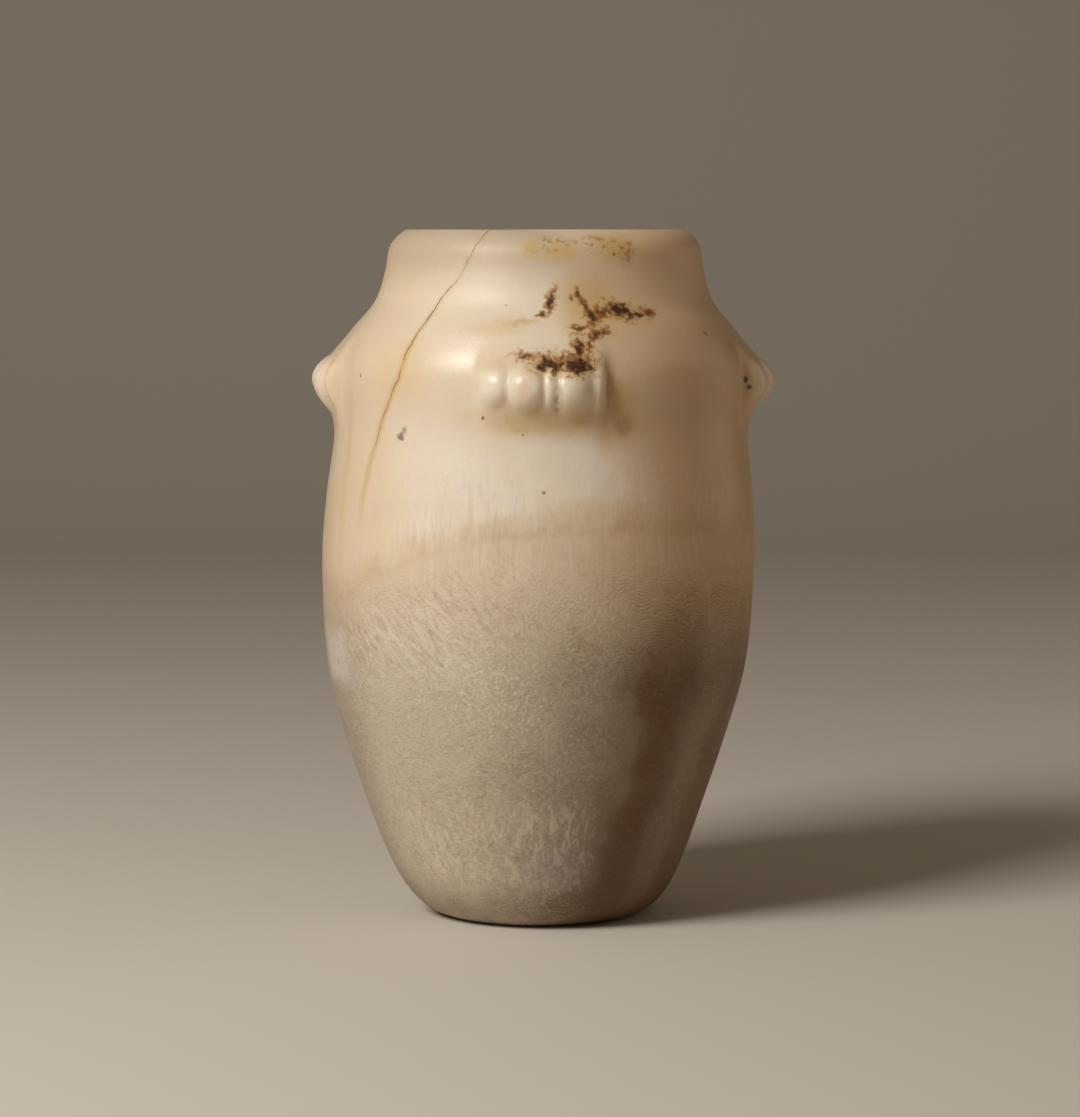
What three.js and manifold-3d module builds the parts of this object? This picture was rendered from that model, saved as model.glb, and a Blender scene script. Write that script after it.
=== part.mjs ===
// Canopic jar carved from one block of cream calcite alabaster, without its lid.
// A hollow ovoid with a short neck and a flat rim, and four ribbed lugs left standing
// at the shoulder. Millimetres, +Z up, the foot rests on z = 0 and one lug faces -Y.
import * as THREE from "three";
import Module from "manifold-3d";
import { mergeVertices } from "three/addons/utils/BufferGeometryUtils.js";

const { lerp, smoothstep } = THREE.MathUtils;

// Levels above the foot
const RIM_LEVEL = 250;
const LIP_LEVEL = 243;
const NECK_LEVEL = 235;
const NECK_FOOT_LEVEL = 224;
const SHOULDER_LEVEL = 200;
const WAIST_LEVEL = 180;
const BELLY_LEVEL = 127;

// Outer radii at those levels
const RIM_FLAT_RADIUS = 50.5;
const LIP_RADIUS = 56.7;
const NECK_RADIUS = 58;
const NECK_FOOT_RADIUS = 61.5;
const SHOULDER_RADIUS = 75.2;
const WAIST_RADIUS = 74.7;
const BELLY_RADIUS = 79;
const FOOT_RADIUS = 34;

// The hollow
const MOUTH_RADIUS = 43;
const MOUTH_DEPTH = 23;
const WALL_THICKNESS = 12;
const FLOOR_THICKNESS = 17;
const FLOOR_ROUNDING = 16;

// The carver's centre line wanders a little sideways
const FOOT_DRIFT = -1.2;
const HIP_DRIFT = -2.7;
const HIP_LEVEL = 45;
const BELLY_DRIFT = -1.5;
const RIM_DRIFT = 1;

// Lugs: a short bar of ribs that stands out most in its middle
const LUG_COUNT = 4;
const LUG_LEVEL = 195.5;
const LUG_WIDTH = 45;
const LUG_HALF_HEIGHT = 9.8;
const LUG_DEPTH = 9.7;
const LUG_END_DEPTH = 4.2;
const LUG_END_ROUNDING = 3;
const LUG_GROOVE_DEPTH = 2.4;
// The lug's block goes this deep into the wall, and its edges end just under the skin
const LUG_ROOT = 5;
const LUG_EDGE = 0.35;

// Facets around the jar, between two stations of its outline, and over a lug
const ROUND_SEGMENTS = 64;
const OUTLINE_STEPS = 2;
const HOLLOW_STEPS = 1;
const LUG_COLUMNS = 28;
const LUG_ROWS = 12;

const stone = new THREE.MeshStandardMaterial({ color: 0xd8c6a2, roughness: 0.4, metalness: 0 });

const station = (radius, level) => new THREE.Vector2(radius, level);

// Lower outline as shares of the belly's radius and level, from the rounded heel up
const lowerShares = [
  [0.52, 0.02],
  [0.6, 0.07],
  [0.677, 0.157],
  [0.766, 0.3],
  [0.868, 0.49],
  [0.967, 0.725],
];

// Ends of a lug and the grooves between its four ribs, as shares of its half width
const ribBounds = [-1, -0.5, 0.22, 0.66, 1];

// Shares of the way from belly to waist, from shoulder to neck, and over the lip
const flankShare = { radius: 0.31, level: 0.53 };
const slopeShare = { radius: 0.394, level: 0.54 };
const lipShare = { radius: 0.4, level: 0.6 };

const outsideCurve = new THREE.SplineCurve([
  station(FOOT_RADIUS, 0),
  ...lowerShares.map(([radius, level]) => station(radius * BELLY_RADIUS, level * BELLY_LEVEL)),
  station(BELLY_RADIUS, BELLY_LEVEL),
  station(
    lerp(BELLY_RADIUS, WAIST_RADIUS, flankShare.radius),
    lerp(BELLY_LEVEL, WAIST_LEVEL, flankShare.level),
  ),
  station(WAIST_RADIUS, WAIST_LEVEL),
  station(SHOULDER_RADIUS, SHOULDER_LEVEL),
  station(
    lerp(SHOULDER_RADIUS, NECK_FOOT_RADIUS, slopeShare.radius),
    lerp(SHOULDER_LEVEL, NECK_FOOT_LEVEL, slopeShare.level),
  ),
  station(NECK_FOOT_RADIUS, NECK_FOOT_LEVEL),
  station(NECK_RADIUS, NECK_LEVEL),
  station(LIP_RADIUS, LIP_LEVEL),
  station(
    lerp(LIP_RADIUS, RIM_FLAT_RADIUS, lipShare.radius),
    lerp(LIP_LEVEL, RIM_LEVEL, lipShare.level),
  ),
  station(RIM_FLAT_RADIUS, RIM_LEVEL),
]);
const outline = outsideCurve.getPoints(OUTLINE_STEPS * (outsideCurve.points.length - 1));

const driftLine = new THREE.SplineCurve([
  station(FOOT_DRIFT, 0),
  station(HIP_DRIFT, HIP_LEVEL),
  station(BELLY_DRIFT, BELLY_LEVEL),
  station(0, LUG_LEVEL),
  station(RIM_DRIFT, RIM_LEVEL),
]).getPoints(outline.length);

// First coordinate of a rising line of points at a given level
function acrossAt(line, level) {
  const above = line.findIndex((end, i) => i > 0 && end.y >= level);
  const top = above < 0 ? line.length - 1 : above;
  const [lower, upper] = [line[top - 1], line[top]];
  return lerp(lower.x, upper.x, (level - lower.y) / (upper.y - lower.y));
}

// The hollow keeps one wall thickness behind the outside, between the rounded floor
// and the straight bore of the mouth
function hollowLine() {
  const wall = [];
  const spans = HOLLOW_STEPS * (outsideCurve.points.length - 1);
  for (let i = 1; i < spans; i++) {
    const place = outsideCurve.getPoint(i / spans);
    const along = outsideCurve.getTangent(i / spans);
    wall.push(station(place.x - WALL_THICKNESS * along.y, place.y + WALL_THICKNESS * along.x));
  }
  const boreFoot = station(MOUTH_RADIUS, RIM_LEVEL - MOUTH_DEPTH);
  const floor = FLOOR_THICKNESS;
  const sides = wall.filter(({ x, y }) => (
    y > floor + FLOOR_ROUNDING && y < boreFoot.y - WALL_THICKNESS / 2 && x > MOUTH_RADIUS
  ));
  const flat = station(sides[0].x - FLOOR_ROUNDING, floor);
  const corner = new THREE.QuadraticBezierCurve(
    flat,
    station(sides[0].x - FLOOR_ROUNDING / 3, floor),
    sides[0],
  ).getPoints(3);
  return [station(0, floor), ...corner, ...sides.slice(1), boreFoot, station(MOUTH_RADIUS, RIM_LEVEL)];
}

const wasm = await Module();
wasm.setup();

// Closed solid of a geometry, moved sideways along the wandering centre line
function solidOf(geometry) {
  const place = geometry.getAttribute("position");
  for (let i = 0; i < place.count; i++) {
    place.setX(i, place.getX(i) + acrossAt(driftLine, place.getZ(i)));
  }
  geometry.deleteAttribute("normal");
  geometry.deleteAttribute("uv");
  const merged = mergeVertices(geometry, 1e-3);
  const corners = merged.getIndex().array;
  const kept = [];
  for (let i = 0; i < corners.length; i += 3) {
    const [a, b, c] = corners.slice(i, i + 3);
    if (a !== b && b !== c && c !== a) kept.push(a, b, c);
  }
  return new wasm.Manifold(new wasm.Mesh({
    numProp: 3,
    vertProperties: new Float32Array(merged.getAttribute("position").array),
    triVerts: new Uint32Array(kept),
  }));
}

function vessel() {
  const section = [station(0, 0), ...outline, ...hollowLine().reverse()];
  const turned = new THREE.LatheGeometry(section, ROUND_SEGMENTS);
  turned.rotateX(Math.PI / 2);
  return solidOf(turned);
}

// Roundness of the ribs: 0 in a groove or at an end, 1 on a crest
function ribAt(share) {
  const right = ribBounds.findIndex((bound, i) => i > 0 && share <= bound);
  if (right < 0 || share < ribBounds[0]) return 0;
  const [start, end] = [ribBounds[right - 1], ribBounds[right]];
  return Math.sin(Math.PI * (share - start) / (end - start));
}

// How far a lug stands out, at a distance to either side of its middle and above it
function lugRelief(aside, above) {
  const halfWidth = LUG_WIDTH / 2;
  const outward = Math.min(Math.abs(aside) / halfWidth, 1);
  const crest = lerp(LUG_DEPTH, LUG_END_DEPTH, outward ** 2);
  const end = 1 - smoothstep(Math.abs(aside), halfWidth - LUG_END_ROUNDING, halfWidth + LUG_END_ROUNDING);
  const rib = ribAt(aside / halfWidth);
  const bell = Math.exp(-((Math.abs(above) / LUG_HALF_HEIGHT) ** 2.3));
  return (crest - LUG_GROOVE_DEPTH * (1 - rib)) * end * bell;
}

// A box bent around the shoulder, its front face raised into the lug
function lug(azimuth) {
  const width = LUG_WIDTH + 2.5 * LUG_END_ROUNDING;
  const height = 3.5 * LUG_HALF_HEIGHT;
  const block = new THREE.BoxGeometry(width, height, 1, LUG_COLUMNS, LUG_ROWS, 1);
  const place = block.getAttribute("position");
  for (let i = 0; i < place.count; i++) {
    const [aside, above] = [place.getX(i), place.getY(i)];
    const level = LUG_LEVEL + above;
    const out = place.getZ(i) > 0 ? lugRelief(aside, above) - LUG_EDGE : -LUG_ROOT;
    const radius = acrossAt(outline, level) + out;
    const angle = azimuth + aside / acrossAt(outline, LUG_LEVEL);
    place.setXYZ(i, radius * Math.cos(angle), radius * Math.sin(angle), level);
  }
  return solidOf(block);
}

let jarSolid = vessel();
for (let i = 0; i < LUG_COUNT; i++) {
  jarSolid = jarSolid.add(lug(2 * Math.PI * i / LUG_COUNT - Math.PI / 2));
}

const faces = jarSolid.getMesh();
const jarGeometry = new THREE.BufferGeometry();
jarGeometry.setAttribute("position", new THREE.BufferAttribute(faces.vertProperties, 3));
jarGeometry.setIndex(new THREE.BufferAttribute(faces.triVerts, 1));
jarGeometry.computeVertexNormals();

const jar = new THREE.Mesh(jarGeometry, stone);
jar.name = "jar";

const canopicJar = new THREE.Group();
canopicJar.add(jar);

export default canopicJar;
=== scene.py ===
"""A lidless canopic jar of cream calcite alabaster, carved from one block, seen at rim height."""
import math

import bmesh
import bpy
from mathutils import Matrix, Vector, noise


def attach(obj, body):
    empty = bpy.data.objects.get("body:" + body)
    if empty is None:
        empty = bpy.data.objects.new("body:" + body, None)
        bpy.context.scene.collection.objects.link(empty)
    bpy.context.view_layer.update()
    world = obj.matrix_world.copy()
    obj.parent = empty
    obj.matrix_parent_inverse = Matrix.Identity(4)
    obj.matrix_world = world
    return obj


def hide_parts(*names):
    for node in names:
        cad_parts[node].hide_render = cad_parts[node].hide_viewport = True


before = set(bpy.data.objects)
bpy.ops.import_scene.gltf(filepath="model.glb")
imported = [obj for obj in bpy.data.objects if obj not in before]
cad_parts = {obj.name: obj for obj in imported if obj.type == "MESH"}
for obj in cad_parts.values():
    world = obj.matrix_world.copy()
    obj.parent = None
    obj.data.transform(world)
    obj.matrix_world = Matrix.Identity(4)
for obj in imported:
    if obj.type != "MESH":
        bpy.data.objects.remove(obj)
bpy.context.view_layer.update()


# Camera
# It stands 1.4 m in front of the jar at the height of the rim and looks down a little,
# so the whole jar shows and its mouth is seen edge on. Its picture is 1080 by 1117.
MM = 0.001
PICTURE_HEIGHT = 1117
FOCAL_PIXELS = 3837
CAMERA_DISTANCE = 1400
CAMERA_LEVEL = 250
CAMERA_ASIDE = -0.9
CAMERA_PITCH = 4.9

camera_data = bpy.data.cameras.new("camera")
camera_data.sensor_width = 36
camera_data.lens = camera_data.sensor_width * FOCAL_PIXELS / PICTURE_HEIGHT
camera_data.clip_start = 0.05
camera = bpy.data.objects.new("camera", camera_data)
camera.location = Vector((CAMERA_ASIDE, -CAMERA_DISTANCE, CAMERA_LEVEL)) * MM
camera.rotation_euler = (math.radians(90 - CAMERA_PITCH), 0, 0)
bpy.context.collection.objects.link(camera)
bpy.context.scene.camera = camera


# Form of the jar
# One block of banded calcite, hollowed with a drill and ground smooth by hand. The body leans
# and wanders a little, and four ribbed lugs were left standing at the shoulder.
RIM_LEVEL = 250
OUTSIDE = [
    (34, 0), (41, 2.5), (47.4, 8.9), (53.5, 19.9), (60.5, 38.1), (68.6, 62.2), (76.4, 92),
    (79, 127), (77.7, 155), (74.7, 180), (75.2, 200), (69.8, 213), (61.5, 224), (58, 235),
    (56.7, 243), (54.2, 247.2), (50.5, RIM_LEVEL),
]
HOLLOW = [
    (43.6, RIM_LEVEL), (43, RIM_LEVEL - 0.7), (43, 240), (43, 227), (50.9, 218.3), (59.4, 207),
    (63.3, 198.2), (62.7, 179.7), (65.7, 154), (67, 127), (64.5, 94), (57.1, 65.6), (49.2, 42.1),
    (45.1, 28.2), (39.7, 19.8), (33.2, 17),
]
CENTRE_LINE = [(-1.2, 0), (-2.7, 45), (-1.5, 127), (0, 195.5), (1, RIM_LEVEL)]
SEGMENTS = 360
LUG_COUNT = 4
LUG_LEVEL = 195.5
LUG_WIDTH = 45
LUG_HALF_HEIGHT = 9.8
LUG_DEPTH = 9.27
LUG_END_DEPTH = 4
LUG_END_ROUNDING = 3
KNOB_DEPTH = 0.32
KNOB_SQUARENESS = 2.2
KNOB_FLATNESS = 0.7
BAR_SPREAD = 1.2
# The knobs of a lug, each as its start and end in shares of the half width, the place of its
# middle above the lug's, its half height as a share of the lug's, and its rise
KNOBS = [
    (-1, -0.5, 0.8, 0.78, 1), (-0.5, 0.02, 0.4, 0.92, 1), (0.02, 0.2, 0, 0.8, 0.45),
    (0.2, 0.74, -1, 1.06, 1), (0.74, 1, -0.6, 0.86, 0.8),
]
DISH = (-4.2, 1)
DISH_DEPTH = 0.6
DISH_RADIUS = 2.4
# Hand work: the skin swells and sinks, and the rim sags in front
SKIN_SWELL = 0.25
SKIN_WAVE = 34
SKIN_FADE = 20
RIM_SAG = 0.8
RIM_SAG_REACH = 10
RIM_SAG_TURN = 0.35
# The mesh's columns stand closer together at the lugs, and so do its rings
COLUMN_CROWDING = 0.5
LUG_RING_SPACING = 0.9
RING_SPACING = 1.7
LUG_RINGS_REACH = 20
HOLLOW_SPACING = 5
# A point is on the outside when it lies above the underside and no further in than this
OUTSIDE_MARGIN = 5
UNDERSIDE = 1


def smooth_line(points, steps=12):
    """A smooth line through the points, as a list of close ones."""
    held = [points[0], *points, points[-1]]
    line = []
    for a, b, c, d in zip(held, held[1:], held[2:], held[3:]):
        for step in range(steps):
            t = step / steps
            line.append(tuple(
                0.5 * (2 * q + (r - p) * t + (2 * p - 5 * q + 4 * r - s) * t * t
                       + (3 * q - p - 3 * r + s) * t ** 3)
                for p, q, r, s in zip(a, b, c, d)
            ))
    return line + [points[-1]]


def spaced(line, spacing):
    """The points of a line that lie at least the spacing at their level apart, with both ends."""
    kept = [line[0]]
    for point in line[1:-1]:
        if math.dist(point, kept[-1]) >= spacing(point[1]):
            kept.append(point)
    return kept + [line[-1]]


def across_at(line, level):
    """The first coordinate of a rising line at a level."""
    for (low_x, low), (high_x, high) in zip(line, line[1:]):
        if level <= high:
            break
    return low_x + (high_x - low_x) * (level - low) / (high - low)


def ease(value, low, high):
    """0 below low, 1 above high, and smooth between them."""
    t = min(max((value - low) / (high - low), 0), 1)
    return t * t * (3 - 2 * t)


outside_line = smooth_line(OUTSIDE)
hollow_line = smooth_line(HOLLOW)
centre_line = smooth_line(CENTRE_LINE)
lug_radius = across_at(outside_line, LUG_LEVEL)


def lug_relief(aside, above):
    """How far a lug, a low bar with rounded knobs on it, stands out beside and above its middle."""
    half_width = LUG_WIDTH / 2
    share = max(-0.999, min(aside / half_width, 0.999))
    start, end, middle, half_height, rise = next(knob for knob in KNOBS if share < knob[1])
    from_middle = abs(2 * share - start - end) / (end - start)
    from_level = abs(above - middle) / (half_height * LUG_HALF_HEIGHT)
    inside = 1 - from_middle ** KNOB_SQUARENESS - from_level ** KNOB_SQUARENESS
    dome = rise * max(0, inside) ** KNOB_FLATNESS
    bar = math.exp(-(above / (BAR_SPREAD * LUG_HALF_HEIGHT)) ** 2)
    crest = LUG_DEPTH + (LUG_END_DEPTH - LUG_DEPTH) * share ** 2
    end_fade = 1 - ease(abs(aside), half_width - LUG_END_ROUNDING, half_width + LUG_END_ROUNDING)
    return crest * end_fade * (bar + KNOB_DEPTH * (dome - bar))


def ring_spacing(level):
    """How far apart the rings of the outside lie at a level."""
    return LUG_RING_SPACING if abs(level - LUG_LEVEL) < LUG_RINGS_REACH else RING_SPACING


section = [(0, 0), (12, 0), (24, 0), *spaced(outside_line, ring_spacing)]
section += [(47, RIM_LEVEL), *spaced(hollow_line, lambda level: HOLLOW_SPACING), (20, 17), (0, 17)]

jar_form = bmesh.new()
stations = [jar_form.verts.new((radius, 0, level)) for radius, level in section]
outline_edges = [jar_form.edges.new(pair) for pair in zip(stations, stations[1:])]
bmesh.ops.spin(
    jar_form, geom=stations + outline_edges, cent=(0, 0, 0), axis=(0, 0, 1),
    angle=math.tau, steps=SEGMENTS, use_merge=True,
)
bmesh.ops.remove_doubles(jar_form, verts=jar_form.verts, dist=0.01)
bmesh.ops.recalc_face_normals(jar_form, faces=jar_form.faces)

for vert in jar_form.verts:
    x, y, level = vert.co
    radius = math.hypot(x, y)
    turn = math.atan2(x, -y)
    turn -= COLUMN_CROWDING * math.sin(LUG_COUNT * turn) / LUG_COUNT
    is_outside = radius > across_at(outside_line, level) - OUTSIDE_MARGIN and level > UNDERSIDE
    if is_outside:
        lug_turn = math.remainder(turn, math.tau / LUG_COUNT)
        radius += lug_relief(lug_turn * lug_radius, level - LUG_LEVEL)
        from_dish = math.dist((turn * lug_radius, level - LUG_LEVEL), DISH)
        radius -= DISH_DEPTH * math.exp(-(from_dish / DISH_RADIUS) ** 2)
        swell = SKIN_SWELL * noise.noise(Vector((x, y, level)) / SKIN_WAVE)
        radius += swell * ease(level, 0, SKIN_FADE) * ease(RIM_LEVEL - level, 0, SKIN_FADE)
    above_sag = (level - RIM_LEVEL + RIM_SAG_REACH) / RIM_SAG_REACH
    if above_sag > 0:
        level -= RIM_SAG * above_sag * math.exp(-(turn / RIM_SAG_TURN) ** 2)
    aside = across_at(centre_line, level) + radius * math.sin(turn)
    vert.co = Vector((aside, -radius * math.cos(turn), level)) * MM

jar_mesh = bpy.data.meshes.new("jar_stone")
jar_form.to_mesh(jar_mesh)
jar_form.free()
jar_mesh.shade_smooth()
jar = bpy.data.objects.new("jar_stone", jar_mesh)
bpy.context.collection.objects.link(jar)


# Stone of the jar
# Cream translucent calcite, smooth and clear at the shoulder, with an arched band of white
# fibres across the belly and a greyer, rippled, sugary stone below it.
def paint(red, green, blue):
    """A colour read as screen values, as the shader's linear ones."""
    return [*(((part / 255 + 0.055) / 1.055) ** 2.4 for part in (red, green, blue)), 1]


stone = bpy.data.materials.new("alabaster")
stone.use_nodes = True
nodes, links = stone.node_tree.nodes, stone.node_tree.links
nodes.clear()


def add(kind, inputs=(), **settings):
    """A new node with its settings and inputs. An input is a value or another node's output."""
    new = nodes.new(kind)
    for name, value in settings.items():
        setattr(new, name, value)
    for name, value in dict(inputs).items():
        if isinstance(value, bpy.types.NodeSocket):
            links.new(value, new.inputs[name])
        else:
            new.inputs[name].default_value = value
    return new


def calc(operation, *values):
    """The result of a sum over values, each a number or another node's output."""
    return add("ShaderNodeMath", dict(enumerate(values)), operation=operation).outputs[0]


def times(*values):
    """The product of the values."""
    product = values[0]
    for value in values[1:]:
        product = calc("MULTIPLY", product, value)
    return product


def plus(*values):
    """The sum of the values."""
    total = values[0]
    for value in values[1:]:
        total = calc("ADD", total, value)
    return total


def swing(waves, size):
    """A noise from 0 to 1 as a swing to both sides of 0, this large from end to end."""
    return times(calc("SUBTRACT", waves, 0.5), size)


def stretched(place, x, y, z):
    """A place with each of its coordinates multiplied by a number of its own."""
    return add("ShaderNodeVectorMath", {0: place, 1: (x, y, z)}, operation="MULTIPLY").outputs[0]


def clouds(place, scale, detail=3, roughness=0.55, distortion=0):
    """Noise from 0 to 1 over a place in mm, with this many waves in a mm."""
    values = {"Vector": place, "Scale": scale, "Detail": detail, "Roughness": roughness,
              "Distortion": distortion}
    return add("ShaderNodeTexNoise", values).outputs["Fac"]


def between(value, low, high, start=0, end=1):
    """Rises smoothly from start to end while the value goes from low to high."""
    values = {"Value": value, "From Min": low, "From Max": high, "To Min": start, "To Max": end}
    return add("ShaderNodeMapRange", values, interpolation_type="SMOOTHSTEP").outputs["Result"]


def laid_over(under, over, amount):
    """The colour over laid on the colour under by an amount."""
    mix = add("ShaderNodeMix", data_type="RGBA")
    for socket, value in ((mix.inputs[0], amount), (mix.inputs[6], under), (mix.inputs[7], over)):
        if isinstance(value, bpy.types.NodeSocket):
            links.new(value, socket)
        else:
            socket.default_value = value
    return mix.outputs[2]


def curve_of(value, low, high, out_low, out_high, points):
    """A value drawn as a curve of points over another value, both in their own units."""
    share = add("ShaderNodeMapRange", {"Value": value, "From Min": low, "From Max": high})
    drawn = add("ShaderNodeFloatCurve", {"Value": share.outputs[0]})
    line = drawn.mapping.curves[0]
    places = [((at - low) / (high - low), (to - out_low) / (out_high - out_low)) for at, to in points]
    line.points[0].location, line.points[-1].location = places[0], places[-1]
    for place in places[1:-1]:
        line.points.new(*place)
    drawn.mapping.update()
    values = {"Value": drawn.outputs[0], "To Min": out_low, "To Max": out_high}
    return add("ShaderNodeMapRange", values).outputs[0]


def on_jar(turn, level):
    """The place on the outside at a turn in degrees from the front and a level in mm."""
    turn, radius = math.radians(turn), across_at(outside_line, level)
    lug_turn = math.remainder(turn, math.tau / LUG_COUNT)
    radius += lug_relief(lug_turn * lug_radius, level - LUG_LEVEL)
    aside = across_at(centre_line, level) + radius * math.sin(turn)
    return Vector((aside, -radius * math.cos(turn), level))


coordinates = add("ShaderNodeTexCoord").outputs["Object"]
place = add("ShaderNodeVectorMath", {0: coordinates, "Scale": 1 / MM}, operation="SCALE").outputs[0]
parts = add("ShaderNodeSeparateXYZ", {0: place}).outputs
level = parts[2]
turn = calc("DEGREES", calc("ARCTAN2", parts[0], times(parts[1], -1)))
radius = add("ShaderNodeVectorMath", {0: stretched(place, 1, 1, 0)}, operation="LENGTH").outputs["Value"]
outside = between(radius, 44, 47)

patches = clouds(place, 0.06, 4)
fibres = clouds(stretched(place, 1, 1, 0.17), 0.36, 4, 0.58, 1.4)
wrinkles = clouds(stretched(place, 1, 1, 1.5), 0.36, 4, 0.52, 1.8)
grain = clouds(place, 0.9, 3, 0.7)
wobble = calc("SUBTRACT", clouds(place, 0.35, 3), 0.5)
soft_wobble = calc("SUBTRACT", clouds(place, 0.09, 2), 0.5)
drift = plus(turn, swing(clouds(place, 0.03, 2), 22))

# The ground is cream above, warmer to the right of the front and at the far sides, and grows tan
# and then brown down the body. The brown is deepest in a broad band down the right of the front,
# partly the stone's own colour and partly painted shade where the jar turns away from the lamp.
HONEY = [(-180, 0.6), (-120, 0.7), (-85, 0.62), (-70, 0.36), (-52, 0.26), (-35, 0.08), (-14, 0.02),
         (0, 0), (14, 0.34), (28, 0.66), (42, 0.82), (56, 0.88), (70, 0.95), (110, 0.8), (180, 0.6)]
# Browning by turn, partly painted shade: it is deepest at turns 28 to 45, where the jar turns from the lamp
BROWNING_AND_SHADE = [(-180, 0.35), (-120, 0.3), (-85, 0.5), (-70, 0.46), (-60, 0.34), (-42, 0.04), (-28, 0.02),
            (-14, 0.14), (0, 0.3), (10, 0.41), (20, 0.55), (28, 0.76), (36, 0.95), (45, 0.9),
            (58, 0.7), (70, 0.82), (100, 0.7), (140, 0.4), (180, 0.35)]
honey = curve_of(drift, -180, 180, 0, 1, HONEY)
lower_drift = plus(drift, between(level, 100, 30, 0, 7))
browning_and_shade = curve_of(lower_drift, -180, 180, 0, 1, BROWNING_AND_SHADE)
streaked = plus(browning_and_shade, swing(fibres, 0.3))
mottled = plus(streaked, swing(patches, 0.28))
upper_cream = laid_over(paint(229, 214, 191), paint(208, 172, 130), honey)
lower_tan = laid_over(paint(203, 190, 170), paint(110, 71, 32), mottled)

# The arched band across the belly: its level at each turn, with white fibres above it
ARCH = [(-180, 138), (-120, 130), (-61, 124), (-53, 130.5), (-35, 138.5), (-23, 143.5), (-15, 146.5),
        (4, 149.5), (15, 150.2), (30, 149.8), (46, 148.5), (63, 148), (120, 136), (180, 138)]
arch = curve_of(turn, -180, 180, 0, 250, ARCH)
feathered = plus(calc("SUBTRACT", level, arch), swing(fibres, 6))
over_arch = plus(feathered, times(soft_wobble, 9))
upper = between(over_arch, -12, 7)
deep = between(plus(level, times(wobble, 14)), 136, 88)
below_arch = laid_over(upper_cream, paint(196, 170, 132), times(calc("SUBTRACT", 1, upper), 0.36))
colour = laid_over(below_arch, lower_tan, deep)
milk = times(between(drift, -48, -28), between(drift, 34, 12))
milk = times(milk, between(over_arch, -4, 10), between(level, 190, 168))
colour = laid_over(colour, paint(236, 226, 218), times(milk, between(patches, 0.3, 0.7, 0.2, 0.6)))
# Painted glow: the right of the neck is painted lighter and warmer, as light shining through the stone
neck_glow = times(between(level, 214, 230), between(calc("ABSOLUTE", calc("SUBTRACT", turn, 50)), 42, 12))
colour = laid_over(colour, paint(240, 208, 168), times(neck_glow, times(outside, 0.5)))
left_side = times(between(turn, 24, -6), between(turn, -150, -90))
neck_shade = times(between(level, 224, 244), between(left_side, 0, 1, 0.12, 0.7))
colour = laid_over(colour, paint(184, 166, 138), neck_shade)
heel_shade = times(between(level, 22, 4), between(patches, 0.3, 0.7, 0.3, 0.8))
colour = laid_over(colour, paint(120, 94, 68), heel_shade)
foot_shade = times(between(level, 60, 6), times(between(turn, -12, 26), between(turn, 130, 90)))
colour = laid_over(colour, paint(88, 58, 32), times(foot_shade, 0.45))
fibre_band = times(between(over_arch, -26, -6), between(over_arch, 30, 8))
fibre_band = times(fibre_band, between(calc("ABSOLUTE", plus(turn, 6)), 44, 12, 0.3, 1))
fibre_share = times(fibre_band, between(patches, 0.35, 0.65, 0.08, 0.36))
fibre_share = plus(fibre_share, 0.04)
colour = laid_over(colour, paint(240, 228, 206), times(between(fibres, 0.48, 0.66), fibre_share))
colour = laid_over(colour, paint(176, 146, 108), times(between(fibres, 0.5, 0.36), fibre_share, 0.4))
warm_seam = times(between(over_arch, -9, -2), between(over_arch, 7, 0))
warm_seam = times(warm_seam, between(patches, 0.35, 0.65, 0.05, 0.28))
colour = laid_over(colour, paint(192, 160, 110), warm_seam)
thin_seam = between(calc("ABSOLUTE", plus(over_arch, 4)), 3, 0.2)
colour = laid_over(colour, paint(166, 128, 84), times(thin_seam, between(patches, 0.4, 0.62, 0.03, 0.12)))

# Fine wavy ripples right of the front, slanting feathers on the left and bright sugary grains
# between them, all in the lower stone
below = between(over_arch, -6, -24)
wrinkle_share = times(below, between(patches, 0.35, 0.6, 0.4, 1))
pale_wrinkle_share = times(wrinkle_share, between(browning_and_shade, 0.9, 0.3, 0.05, 0.26))
colour = laid_over(colour, paint(226, 208, 180), times(between(wrinkles, 0.5, 0.62), pale_wrinkle_share))
colour = laid_over(colour, paint(126, 88, 50), times(between(wrinkles, 0.5, 0.36), wrinkle_share, 0.21))
warp = plus(times(clouds(place, 0.05, 2), 14), times(clouds(place, 0.2, 3), 2.6))
ripple = calc("SINE", times(plus(level, warp), math.tau / 1.3))
ripple_zone = times(between(drift, -14, 38), between(drift, 82, 68))
ripple_zone = times(ripple_zone, between(level, 74, 92), between(level, 136, 120))
ripple_share = times(ripple_zone, between(clouds(place, 0.09, 3), 0.36, 0.6, 0.2, 1))
ripple_height = times(ripple, ripple_share)
colour = laid_over(colour, paint(108, 76, 40), times(between(ripple, 0, 1), ripple_share, 0.4))
slanted = add("ShaderNodeCombineXYZ", {
    "X": plus(turn, times(level, 0.6)),
    "Y": times(level, 0.3),
}).outputs[0]
feathers = clouds(slanted, 0.3, 4, 0.56, 2)
feather_zone = times(between(turn, -74, -60), between(turn, 14, -34))
feather_zone = times(feather_zone, times(between(level, 84, 104), below))
colour = laid_over(colour, paint(230, 220, 204), times(between(feathers, 0.48, 0.62), feather_zone, 0.42))
colour = laid_over(colour, paint(146, 114, 84), times(between(feathers, 0.46, 0.34), feather_zone, 0.28))
sugar = clouds(place, 0.85, 4, 0.72)
sugar_patch = times(between(drift, -34, -18), between(drift, 6, -10))
sugar_patch = times(sugar_patch, between(level, 56, 88), between(level, 110, 98))
sugar_share = plus(times(left_side, 0.24), times(sugar_patch, 0.9))
sugar_share = times(below, sugar_share)
colour = laid_over(colour, paint(240, 226, 208), times(between(sugar, 0.48, 0.64), sugar_share, 0.5))

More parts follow.
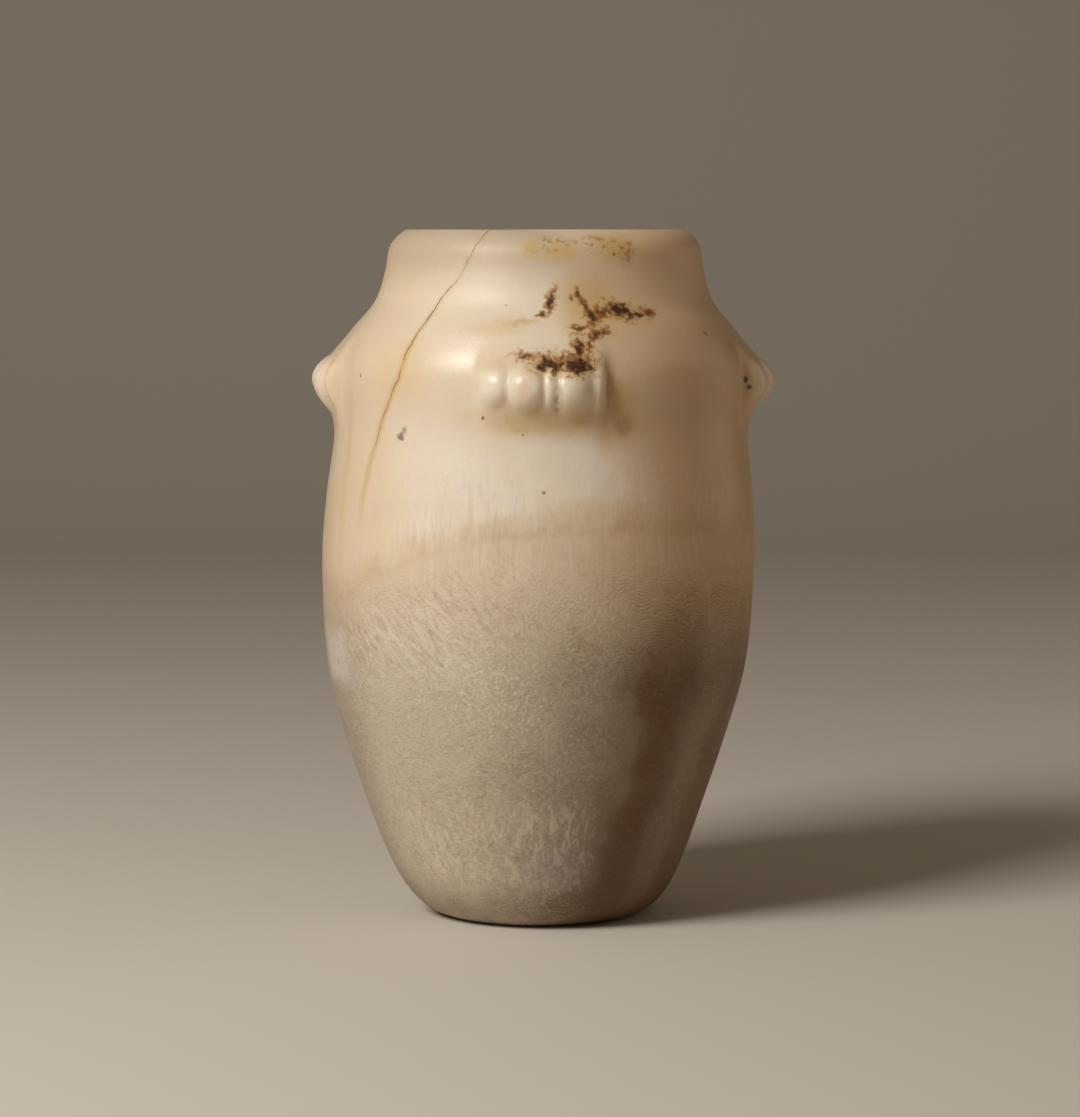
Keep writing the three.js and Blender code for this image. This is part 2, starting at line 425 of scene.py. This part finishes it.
pale_patch = times(between(turn, -84, -74), between(turn, -56, -66))
pale_patch = times(pale_patch, between(level, 84, 92), between(level, 112, 100))
colour = laid_over(colour, paint(226, 214, 204), times(pale_patch, 0.5))
fan = times(between(drift, -62, -40), between(drift, 26, 8))
fan = times(fan, between(level, 10, 24), between(level, 64, 36))
colour = laid_over(colour, paint(232, 216, 196), times(between(fibres, 0.48, 0.62), fan, 0.46))
colour = laid_over(colour, paint(132, 96, 68), times(between(fibres, 0.46, 0.32), fan, 0.24))
grey_patch = times(between(drift, -12, 2), between(drift, 24, 10))
grey_patch = times(grey_patch, between(level, 12, 19), between(level, 38, 24))
colour = laid_over(colour, paint(176, 164, 158), times(grey_patch, between(fibres, 0.4, 0.6, 0.2, 0.7)))

# The lugs are painted paler and less yellow where they stand out from the wall
on_lug = times(between(level, 181, 187), between(level, 212, 205))
on_lug = times(on_lug, between(radius, 76, 83))
colour = laid_over(colour, paint(238, 228, 212), times(on_lug, 0.55))

# A hairline crack from the rim down the left of the front, brown with an ochre edge
CRACK = [(100, -55), (152, -54.4), (161, -53.4), (169, -52.3), (175, -50.9), (182, -49.2), (188, -46.6),
         (193, -44.4), (201, -41.4), (208, -40.6), (219, -38), (224, -36.8), (229, -33.9), (232, -30.9),
         (237, -28.4), (241, -26.3), (246.5, -23.6), (250, -22)]
MM_PER_DEGREE = 1.15
crack_turn = curve_of(level, 100, 250, -60, -20, CRACK)
from_crack = times(calc("SUBTRACT", turn, crack_turn), MM_PER_DEGREE)
from_crack = calc("ABSOLUTE", plus(from_crack, times(wobble, 1.4)))
crack_breaks = between(clouds(place, 0.16, 2), 0.38, 0.56, 0.35, 0.95)
crack_strength = times(between(level, 162, 192), crack_breaks)
crack = times(between(from_crack, 0.44, 0.1), crack_strength)
crack_edge = times(between(from_crack, 2.6, 0.2), between(level, 140, 162))
crack_edge = times(crack_edge, between(level, 232, 205, 0.45, 1))
colour = laid_over(colour, paint(206, 164, 98), times(crack_edge, 0.5))
colour = laid_over(colour, paint(134, 88, 46), crack)

# Stains on the shoulder and neck, each as turn in degrees, level, half width, half height
# and tilt: ochre haze, rust brown, and a black crust in the middle of the brown. The ochre
# and rust spots just below the front lug are painted shadow, the warm shadow the lug casts.
# The haze spots at levels 181 to 186, below the front lug, are painted shadow
HAZE_AND_LUG_SHADOW = [(-6, 218, 4, 0.7, 8), (4, 184, 19, 4.4, 0), (19, 186, 6, 8, 0), (21.5, 182, 5, 4, 0),
        (-8, 184, 3.4, 2.6, 0), (15, 223, 9, 8, 0), (0, 185, 9, 3, 0), (13, 223, 5, 7, 25),
        (27, 221.5, 9, 3, -8), (5, 203.5, 11, 3.5, 0), (10.5, 208, 3, 5, 0), (17.4, 195, 1.6, 8, 0),
        (6, 243, 6, 3, 0), (26, 243.5, 8, 3, 0), (-4, 243.6, 3, 2, 0), (-6, 181, 3.5, 1.6, 0),
        (-6, 218.4, 2, 0.6, 8)]
BROWN = [(2.8, 225.4, 1.4, 3.2, -20), (0, 220.6, 1.6, 0.7, 10), (9.5, 225.7, 0.9, 0.9, 0),
         (12, 227.3, 1.1, 2.4, 20), (13.6, 223.6, 1.3, 3, 25), (15.4, 219.4, 2.4, 2.4, 0),
         (18.5, 221.6, 3, 1.8, 0), (11, 215.9, 3, 0.7, 0), (16, 213.8, 3.8, 1.6, 25),
         (25.4, 221.7, 6.2, 2.5, -12), (36, 221.3, 2.4, 1.6, 0), (-3.8, 206.8, 3.4, 1.2, 0),
         (2, 204, 4.4, 2.6, -8), (8.6, 204, 5.2, 3, 0), (10.2, 209, 2, 3.4, 0),
         (12.7, 210.1, 0.9, 1.6, 0)]
CRUST = [(2.9, 225, 0.6, 2, -20), (9.4, 225.7, 0.7, 0.6, 0), (25, 222, 4.8, 2.2, -14),
         (31, 220.2, 2.2, 0.7, -20), (1.2, 203.4, 3.4, 2.1, 0), (8.8, 203.5, 4.8, 2.5, 0),
         (10.2, 209, 1.2, 2.6, 0), (15.2, 220, 1, 1.6, 0)]
ragged = calc("SUBTRACT", clouds(place, 0.24, 3, 0.5), 0.5)
ragged_up = calc("SUBTRACT", clouds(stretched(place, -1, 1, 1), 0.24, 3, 0.5), 0.5)
wrapped = add("ShaderNodeCombineXYZ", {
    "X": plus(times(turn, MM_PER_DEGREE), times(ragged, 4)),
    "Y": plus(level, times(ragged_up, 4)),
}).outputs[0]


def nearest(spots):
    """How far the surface is from the nearest spot, counted in that spot's own half sizes."""
    nearest_one = None
    for spot_turn, spot_level, half_width, half_height, tilt in spots:
        local = add("ShaderNodeMapping", {
            "Vector": wrapped,
            "Location": (spot_turn * MM_PER_DEGREE, spot_level, 0),
            "Rotation": (0, 0, math.radians(tilt)),
            "Scale": (half_width, half_height, 1),
        }, vector_type="TEXTURE").outputs[0]
        away = add("ShaderNodeVectorMath", {0: local}, operation="LENGTH").outputs["Value"]
        nearest_one = away if nearest_one is None else calc("MINIMUM", nearest_one, away)
    return nearest_one


crumbs = plus(times(clouds(place, 0.3, 2), 0.5), times(clouds(place, 0.6, 3, 0.55), 0.5))
crumbs = between(crumbs, 0.38, 0.62)
FAINT_HAZE = [(-65, 165, 2, 30, 2), (-13, 216, 10, 2.4, 8), (-42, 200, 9, 10, 0), (-14, 205, 5, 3, 0),
              (-5.1, 195, 2.4, 3, 0), (13.6, 154, 8, 3, 0)]
faint_haze = times(between(nearest(FAINT_HAZE), 2, 0.2), outside)
colour = laid_over(colour, paint(212, 176, 112), times(faint_haze, 0.3))
# Rust streaks in two of the front lug's grooves, and one spot of painted shadow below the lug's right end
RUST_AND_LUG_SHADOW = [(17.3, 197, 0.7, 5.5, 0), (3.9, 193.5, 0.6, 4.5, 0), (22, 182, 2, 2.6, 0)]
rust_and_lug_shadow = times(between(nearest(RUST_AND_LUG_SHADOW), 2.4, 0.2), between(crumbs, 0, 1, 0.7, 1))
haze_and_lug_shadow = times(between(nearest(HAZE_AND_LUG_SHADOW), 2.2, 0.2), times(outside, between(patches, 0.2, 0.6, 0.6, 1)))
from_brown = nearest(BROWN)
halo = between(plus(from_brown, swing(crumbs, 1)), 2.1, 0.6)
brown = between(plus(from_brown, swing(crumbs, 1.2)), 1.55, 0.2)
crust = between(plus(nearest(CRUST), swing(crumbs, 1.1)), 1.6, 0.05)
# Ochre haze, with painted shadow below the front lug
colour = laid_over(colour, paint(206, 168, 98), times(haze_and_lug_shadow, 0.64))
RIM_DIRT = [(2, 245, 8, 2.2, 0), (20, 245, 9, 2.6, 0), (31, 242.5, 3, 4, 0)]
rim_dirt = times(between(nearest(RIM_DIRT), 1.7, 0.4), outside)
colour = laid_over(colour, paint(200, 166, 106), times(rim_dirt, between(patches, 0.35, 0.65, 0.1, 0.36)))
colour = laid_over(colour, paint(140, 100, 50), times(rim_dirt, between(crumbs, 0.5, 0.95, 0, 0.6)))
# Rust, with painted shadow below the right end of the front lug
colour = laid_over(colour, paint(156, 112, 58), times(rust_and_lug_shadow, 0.56))
colour = laid_over(colour, paint(188, 136, 62), times(halo, 0.55))
colour = laid_over(colour, paint(146, 92, 48), times(between(from_brown, 1.3, 0.2), 0.6))
brown_paint = laid_over(paint(150, 94, 40), paint(90, 50, 26), between(from_brown, 1.1, 0.1))
colour = laid_over(colour, brown_paint, times(brown, 0.88))
colour = laid_over(colour, paint(58, 32, 20), times(crust, 0.84))

# Loose dots of dirt and one grey chip by their colours, each as turn, level and radius in mm
DOTS = [
    (paint(74, 48, 30), [
        (-15.6, 185, 0.5), (-4.8, 179.2, 0.5), (72.4, 196.4, 0.9), (73.4, 193.3, 0.9),
        (28.5, 243.5, 0.4), (25.1, 241.4, 0.4),
    ]),
    (paint(160, 110, 60), [
        (0.9, 159.3, 0.5), (-12.4, 223.8, 0.5), (55.7, 213.5, 0.9), (-58.9, 198.5, 0.6),
        (5.4, 247.2, 0.4), (17, 247.7, 0.4), (21.5, 244.2, 0.4), (31.5, 245.3, 0.5),
    ]),
    (paint(112, 94, 88), [(-41.6, 177.8, 1.3), (-40.8, 177.2, 0.9)]),
    (paint(160, 150, 136), [(-39.8, 180, 1), (3.6, 188, 0.9)]),
    (paint(196, 150, 160), [(-68, 95.5, 1.1)]),
]
for dot_colour, dots in DOTS:
    nearest_dot = None
    for dot_turn, dot_level, dot_radius in dots:
        centre = on_jar(dot_turn, dot_level)
        away = add("ShaderNodeVectorMath", {0: place, 1: centre}, operation="DISTANCE").outputs["Value"]
        away = calc("DIVIDE", away, dot_radius)
        nearest_dot = away if nearest_dot is None else calc("MINIMUM", nearest_dot, away)
    nearest_dot = plus(nearest_dot, swing(crumbs, 0.8))
    colour = laid_over(colour, dot_colour, between(nearest_dot, 1.6, 0.4, 0, 0.8))

# Waxy polish, duller where the stone is sugary or dirty, with a skin of fine pits and ripples
roughness = plus(between(upper, 0, 1, 0.5, 0.29), between(level, 212, 232, 0, 0.16))
roughness = plus(roughness, times(brown, 0.25))
lower_skin = between(level, 144, 118)
skin = plus(times(grain, 0.1), swing(sugar, times(lower_skin, 0.25)))
skin = plus(skin, times(ripple_height, 0.06))
skin = plus(skin, swing(wrinkles, times(lower_skin, 0.4)))
skin_normal = add("ShaderNodeBump", {"Height": times(skin, MM), "Distance": 1, "Strength": 1}).outputs[0]

shader = add("ShaderNodeBsdfPrincipled", {
    "Base Color": colour,
    "Roughness": roughness,
    "Normal": skin_normal,
    "IOR": 1.5,
    "Specular IOR Level": 0.4,
    "Subsurface Weight": 0.5,
    "Subsurface Radius": (1.0, 0.5, 0.22),
    "Subsurface Scale": 0.012,
}, subsurface_method="RANDOM_WALK")
add("ShaderNodeOutputMaterial", {"Surface": shader.outputs[0]})
jar_mesh.materials.append(stone)

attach(jar, "root")
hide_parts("jar")


# Floor and light
# A pale paper sweep under and behind the jar, one soft lamp in front and to the left as in
# the photograph, and a weak even light from all around.
SWEEP_WIDTH = 40.0
SWEEP_FRONT = -8.0
SWEEP_BACK = 1.6
SWEEP_BEND = 1.0
SWEEP_TOP = 3.0
BEND_STEPS = 16
LAMPS_FACE = Vector((0, 0, 0.13))

sweep_form = bmesh.new()
sweep_line = [(SWEEP_FRONT, 0), (SWEEP_BACK, 0)]
for step in range(1, BEND_STEPS + 1):
    bend = math.pi / 2 * step / BEND_STEPS
    sweep_line.append((SWEEP_BACK + SWEEP_BEND * math.sin(bend), SWEEP_BEND * (1 - math.cos(bend))))
sweep_line.append((SWEEP_BACK + SWEEP_BEND, SWEEP_TOP))
left = [sweep_form.verts.new((-SWEEP_WIDTH / 2, y, z)) for y, z in sweep_line]
edges = [sweep_form.edges.new(pair) for pair in zip(left, left[1:])]
drawn = bmesh.ops.extrude_edge_only(sweep_form, edges=edges)
right = [item for item in drawn["geom"] if isinstance(item, bmesh.types.BMVert)]
bmesh.ops.translate(sweep_form, verts=right, vec=(SWEEP_WIDTH, 0, 0))
bmesh.ops.recalc_face_normals(sweep_form, faces=sweep_form.faces)
sweep_mesh = bpy.data.meshes.new("sweep")
sweep_form.to_mesh(sweep_mesh)
sweep_form.free()
sweep_mesh.shade_smooth()
sweep = bpy.data.objects.new("sweep", sweep_mesh)
bpy.context.collection.objects.link(sweep)

paper = bpy.data.materials.new("pale_paper")
paper.use_nodes = True
paper.node_tree.nodes["Principled BSDF"].inputs["Base Color"].default_value = paint(214, 206, 194)
paper.node_tree.nodes["Principled BSDF"].inputs["Roughness"].default_value = 0.8
sweep_mesh.materials.append(paper)


def lamp(name, turn, height, distance, size, power, colour):
    """A soft square lamp that faces the jar, at a turn from the front and a height in degrees."""
    light = bpy.data.lights.new(name, "AREA")
    light.size, light.energy, light.color = size, power, colour
    turn, height = math.radians(turn), math.radians(height)
    away = Vector((math.sin(turn) * math.cos(height), -math.cos(turn) * math.cos(height), math.sin(height)))
    held = bpy.data.objects.new(name, light)
    held.location = LAMPS_FACE + away * distance
    held.rotation_euler = away.to_track_quat("Z", "Y").to_euler()
    bpy.context.collection.objects.link(held)


lamp("key", -46, 36.5, 1.6, 0.62, 21, (1, 0.97, 0.92))
lamp("return", 112, 12, 1.4, 0.8, 1.6, (1, 0.78, 0.55))

world = bpy.data.worlds.new("studio")
bpy.context.scene.world = world
world.use_nodes = True
world.node_tree.nodes["Background"].inputs["Color"].default_value = (1, 0.84, 0.66, 1)
world.node_tree.nodes["Background"].inputs["Strength"].default_value = 0.12
bpy.context.scene.view_settings.view_transform = "Standard"
